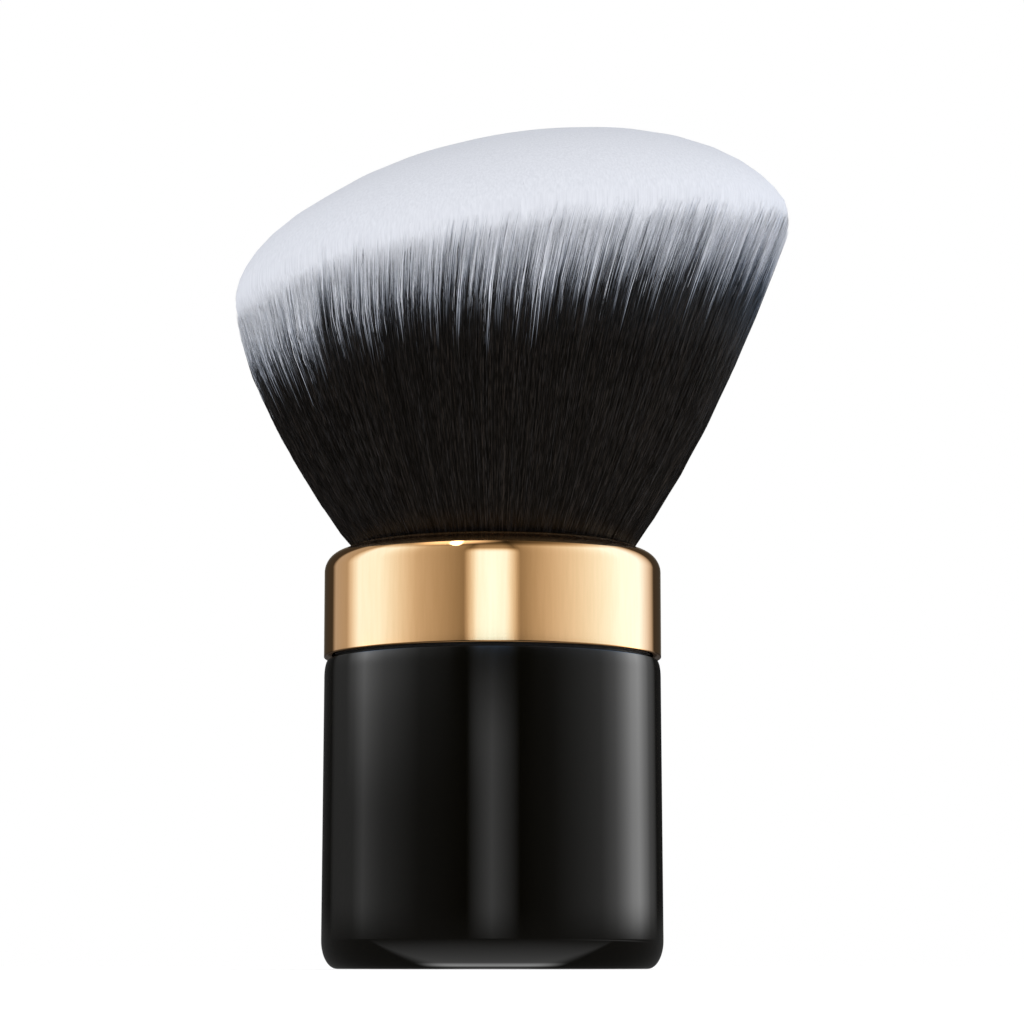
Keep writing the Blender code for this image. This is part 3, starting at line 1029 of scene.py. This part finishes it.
# %% Grow the side of the tuft
SIDE_PIECES = 5
SIDE_STRANDS = 4950
SIDE_SEED = STRAND_SEED + 100
SIDE_RINGS = (0.0, 0.06, 0.15, 0.27, 0.42, 0.60, 0.80)
SIDE_DISC = (0.955, 0.99)
SIDE_WIDTH = 0.000062
SIDE_SWAY = 0.00006
SIDE_STRAYS = (1.0, 2.5)
SIDE_STRAY_SHARES = (0.98, 0.02)
SIDE_WEAVE = 0.003
SIDE_SINK = (0.0, 0.0044)
BELOW_CUT = 0.0001
BELOW_MOUTH = 0.0003
WIDTH_RANGE = (0.8, 1.2)

for number in range(SIDE_PIECES):
    chance = np.random.default_rng(SIDE_SEED + number)
    across, back = scatter(chance, SIDE_STRANDS, *SIDE_DISC)
    stray = chance.choice(SIDE_STRAYS, SIDE_STRANDS, p=SIDE_STRAY_SHARES)
    sway = chance.normal(0, SIDE_SWAY, (2, SIDE_STRANDS)) * stray
    settling = settled(across, back)
    cut = cut_height(across * settling, back * settling) - BELOW_CUT
    tip = np.minimum(cut, turn_white(across * settling) + chance.uniform(*SIDE_SINK, SIDE_STRANDS))
    root = np.full(SIDE_STRANDS, ROOT_HEIGHT - BELOW_MOUTH)
    width = SIDE_WIDTH * chance.uniform(*WIDTH_RANGE, SIDE_STRANDS)
    white = white_heights(chance, across, back)
    piece = crowd_of_strands(f"side_bristles_{number + 1}", SIDE_RINGS, SIDE_STRANDS)
    comb(piece, chance, across, back, root, tip, white, width, sway, SIDE_WEAVE)

# %% Grow the top of the tuft
TOP_PIECES = 4
TOP_STRANDS = 12400
TOP_SEED = STRAND_SEED + 200
TOP_RINGS = (0.0, 0.5, 0.85)
TOP_DISC = (0.0, 0.985)
TOP_WIDTH = 0.00011
TOP_SWAY = 0.00008
TOP_UNEVEN = 0.00003
TOP_LENGTH = 0.0080
TOP_SHARE = 0.999

for number in range(TOP_PIECES):
    chance = np.random.default_rng(TOP_SEED + number)
    across, back = scatter(chance, TOP_STRANDS, *TOP_DISC)
    sway = chance.normal(0, TOP_SWAY, (2, TOP_STRANDS))
    tip = cut_height(across, back) - chance.exponential(TOP_UNEVEN, TOP_STRANDS)
    root = tip - TOP_LENGTH
    width = TOP_WIDTH * chance.uniform(*WIDTH_RANGE, TOP_STRANDS)
    white = white_heights(chance, across, back)
    piece = crowd_of_strands(f"top_bristles_{number + 1}", TOP_RINGS, TOP_STRANDS)
    comb(piece, chance, across * TOP_SHARE, back * TOP_SHARE, root, tip, white, width, sway)

# %% [markdown]
# ## The packed inside of the tuft
# A real tuft has no room to look into: behind the outer bristles there are only more bristles. One closed
# body of the tuft's own shape stands for them and stops light and the eye from passing through. Its dark
# part lies a little inside the outer bristles. Its pale part lies at the surface, as the felt-like white
# that their tips sink into.
# Its white is darker than the bristles' own white: painted shade, as deep among packed bristles.

# %% Colour of the packed inside
CORE_TURN = 0.0668
CORE_TURN_SOFTNESS = 0.005
CORE_TURN_SLOPE = 0.155
CORE_FRAY = (-0.002, 0.002)
CORE_DARKS = ((0.003, 0.0025, 0.003, 1.0), (0.014, 0.012, 0.013, 1.0))
# Darker than the bristles' whites: painted shade.
SHADED_CORE_WHITES = ((0.61, 0.63, 0.69, 1.0), (0.79, 0.81, 0.87, 1.0))
FIBRE_DEPTH = 0.000004

packed, shader, start = new_material("packed_bristle", Roughness=0.7, Specular_IOR_Level=0.2)
place = start.place()
x, y, z = place.axes()
fibres = place.scaled(1, 1, 0.06).noise(scale=5200, detail=2.0)
level = z - x * CORE_TURN_SLOPE + fibres.between(*CORE_FRAY)
whiteness = level.step(CORE_TURN - CORE_TURN_SOFTNESS, CORE_TURN + CORE_TURN_SOFTNESS)
colour = whiteness.blend(fibres.blend(*CORE_DARKS), fibres.blend(*SHADED_CORE_WHITES))
connect(shader, Base_Color=colour, Normal=fibres.bump(FIBRE_DEPTH))

# %% Loft the packed inside
CORE_SIDES = 192
DARK_CORE_SHARE = 0.945
PALE_CORE_SHARE = 0.991
CORE_PALE_REACH = (-0.004, 0.005)
CORE_EDGE_SHARE = 0.02
CORE_TOP_DROP = 0.00003
CORE_LEVELS = (0.0407, 0.0414, 0.0420, 0.0427, 0.0437, 0.0460, 0.0490, 0.0530, 0.0580)
CORE_RISES = (0.2, 0.4, 0.5, 0.6, 0.7, 0.8, 0.9)
CORE_EDGE_RINGS = (1.0, 0.995, 0.985, 0.97, 0.95, 0.92, 0.88, 0.82, 0.74)
CORE_MIDDLE_RINGS = (0.64, 0.52, 0.39, 0.26, 0.13, 0.05)

mesh = bmesh.new()
bmesh.ops.create_circle(mesh, cap_ends=True, segments=CORE_SIDES, radius=1.0)
cap = mesh.faces[:][0]
disc = [(point.co.x, point.co.y) for point in cap.verts]
spots = []


def set_ring(face, share, height_of):
    """Moves a ring of the body to its place: a share of the full disc, at a height."""
    for point, (across, back) in zip(face.verts, disc):
        height = float(height_of(across * share, back * share))
        paleness = share_between(height - turn_white(across), *CORE_PALE_REACH)
        pale_share = PALE_CORE_SHARE + (1 - PALE_CORE_SHARE) * min(1.0, (1 - share) / CORE_EDGE_SHARE)
        reach = share * (DARK_CORE_SHARE + (pale_share - DARK_CORE_SHARE) * paleness)
        point.co = (*map(float, in_head(across * reach, back * reach, height)), height)
        spots.append((across * share, back * share, height))


def next_ring(share, height_of):
    """Grows the body by one ring and returns its new end."""
    (grown,) = bmesh.ops.extrude_discrete_faces(mesh, faces=[cap])["faces"]
    set_ring(grown, share, height_of)
    return grown


last_level = CORE_LEVELS[-1]
set_ring(cap, 1.0, lambda across, back: CORE_LEVELS[0])
for height in CORE_LEVELS[1:]:
    cap = next_ring(1.0, lambda across, back: height)
for rise in CORE_RISES:
    cap = next_ring(1.0, lambda across, back: last_level + (cut_height(across, back) - last_level) * rise)
for share in CORE_EDGE_RINGS + CORE_MIDDLE_RINGS:
    cap = next_ring(share, lambda across, back: cut_height(across, back) - CORE_TOP_DROP)
close_foot(mesh, CORE_SIDES)
core = add_piece("packed_bristles", mesh, packed, "bristle", "bristle_tuft")
core.data.shade_smooth()
across, back, height = np.array(spots).T
normals = tuft_normal(across, back, height, cut_height(across, back))
core.data.normals_split_custom_set_from_vertices(normals)
print("packed_bristles has", len(core.data.polygons), "faces")

# %% [markdown]
# ## The pieces inside the handle
# They are never seen on the standing brush, but each is a real part, so each gets a finish of its own:
# moulded socket, cured adhesive, turned steel, foam, resin and wound thread. The CAD solids are kept as
# they are, and only their materials change. Each finish is a grain in the piece's own coordinates, which
# drives colour and roughness.
# In the foam and the thread the same pattern also paints shade into the hollows.


# %% Give a CAD node its finish
def dress(material, *names):
    """Puts a material in every material slot of these CAD nodes."""
    for name in names:
        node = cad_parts[name]
        if not node.material_slots:
            node.data.materials.append(material)
        for slot in node.material_slots:
            slot.link = "OBJECT"
            slot.material = material
    print(material.name, "is on", *names)


moulded, shader, start = new_material("moulded_plastic")
grain = start.place().noise(scale=2400, detail=3.0)
connect(shader, Base_Color=grain.blend((0.016, 0.016, 0.017, 1.0), (0.026, 0.026, 0.026, 1.0)))
connect(shader, Roughness=grain.between(0.38, 0.58), Normal=grain.bump(0.000008))
dress(moulded, "tuft_socket")

# %% Cured adhesive and resin
adhesive, shader, start = new_material("cured_adhesive")
flow = start.place().noise(scale=600, detail=2.0)
bubbles = start.place().cells(scale=1800.0).step(0.10, 0.22)
connect(shader, Base_Color=flow.blend((0.66, 0.59, 0.40, 1.0), (0.78, 0.72, 0.54, 1.0)))
connect(shader, Roughness=flow.between(0.25, 0.45), Normal=(flow + bubbles).bump(0.00002))
dress(adhesive, "collar_bond", "stem_bond", "weight_bond")

resin, shader, start = new_material("root_resin")
flow = start.place().noise(scale=350, detail=3.0)
connect(shader, Base_Color=flow.blend((0.46, 0.33, 0.15, 1.0), (0.62, 0.48, 0.27, 1.0)))
connect(shader, Roughness=flow.between(0.14, 0.29), Normal=flow.bump(0.00003))
dress(resin, "root_epoxy")

# %% Turned steel
CUT_GRAIN = 9000

steel, shader, start = new_material("turned_steel", Metallic=1.0)
place = start.place()
x, y, z = place.axes()
radius = start.math("SQRT", x * x + y * y)
cuts = start.vector(radius * CUT_GRAIN, z * CUT_GRAIN, 0.0).noise(scale=1.0, detail=2.0)
stain = place.noise(scale=300, detail=2.0)
connect(shader, Base_Color=stain.blend((0.50, 0.50, 0.51, 1.0), (0.60, 0.60, 0.60, 1.0)))
connect(shader, Roughness=cuts.between(0.22, 0.42), Normal=cuts.bump(0.000006))
dress(steel, "weight_slug")

# %% Foam and wound thread
THREAD_PITCH = 0.0003

foam, shader, start = new_material("closed_cell_foam", Roughness=0.9, Specular_IOR_Level=0.2)
pores_and_shade = start.place().cells(scale=2600.0).step(0.0, 0.7)
# Darker in the middle of each cell, where the bump makes a hollow: painted shade in the pores.
connect(shader, Base_Color=pores_and_shade.blend((0.05, 0.05, 0.055, 1.0), (0.11, 0.11, 0.115, 1.0)))
connect(shader, Normal=pores_and_shade.bump(0.00008))
dress(foam, "foam_pad")

thread, shader, start = new_material("wound_thread", Specular_IOR_Level=0.2)
place = start.place()
turns = start.math("SINE", place.axes()[2] * (2 * math.pi / THREAD_PITCH)) * 0.5 + 0.5
fluff = place.noise(scale=5000, detail=2.0)
# Darker in the grooves between the turns, where the bump is low: painted shade.
connect(shader, Base_Color=turns.blend((0.50, 0.48, 0.43, 1.0), (0.80, 0.78, 0.72, 1.0)))
connect(shader, Roughness=fluff.between(0.75, 0.90), Normal=(turns + fluff * 0.5).bump(0.00006))
dress(thread, "root_binding")

# %% [markdown]
# ## The end
# Last, the scene is brought up to date.

# %% Finish
bpy.context.view_layer.update()
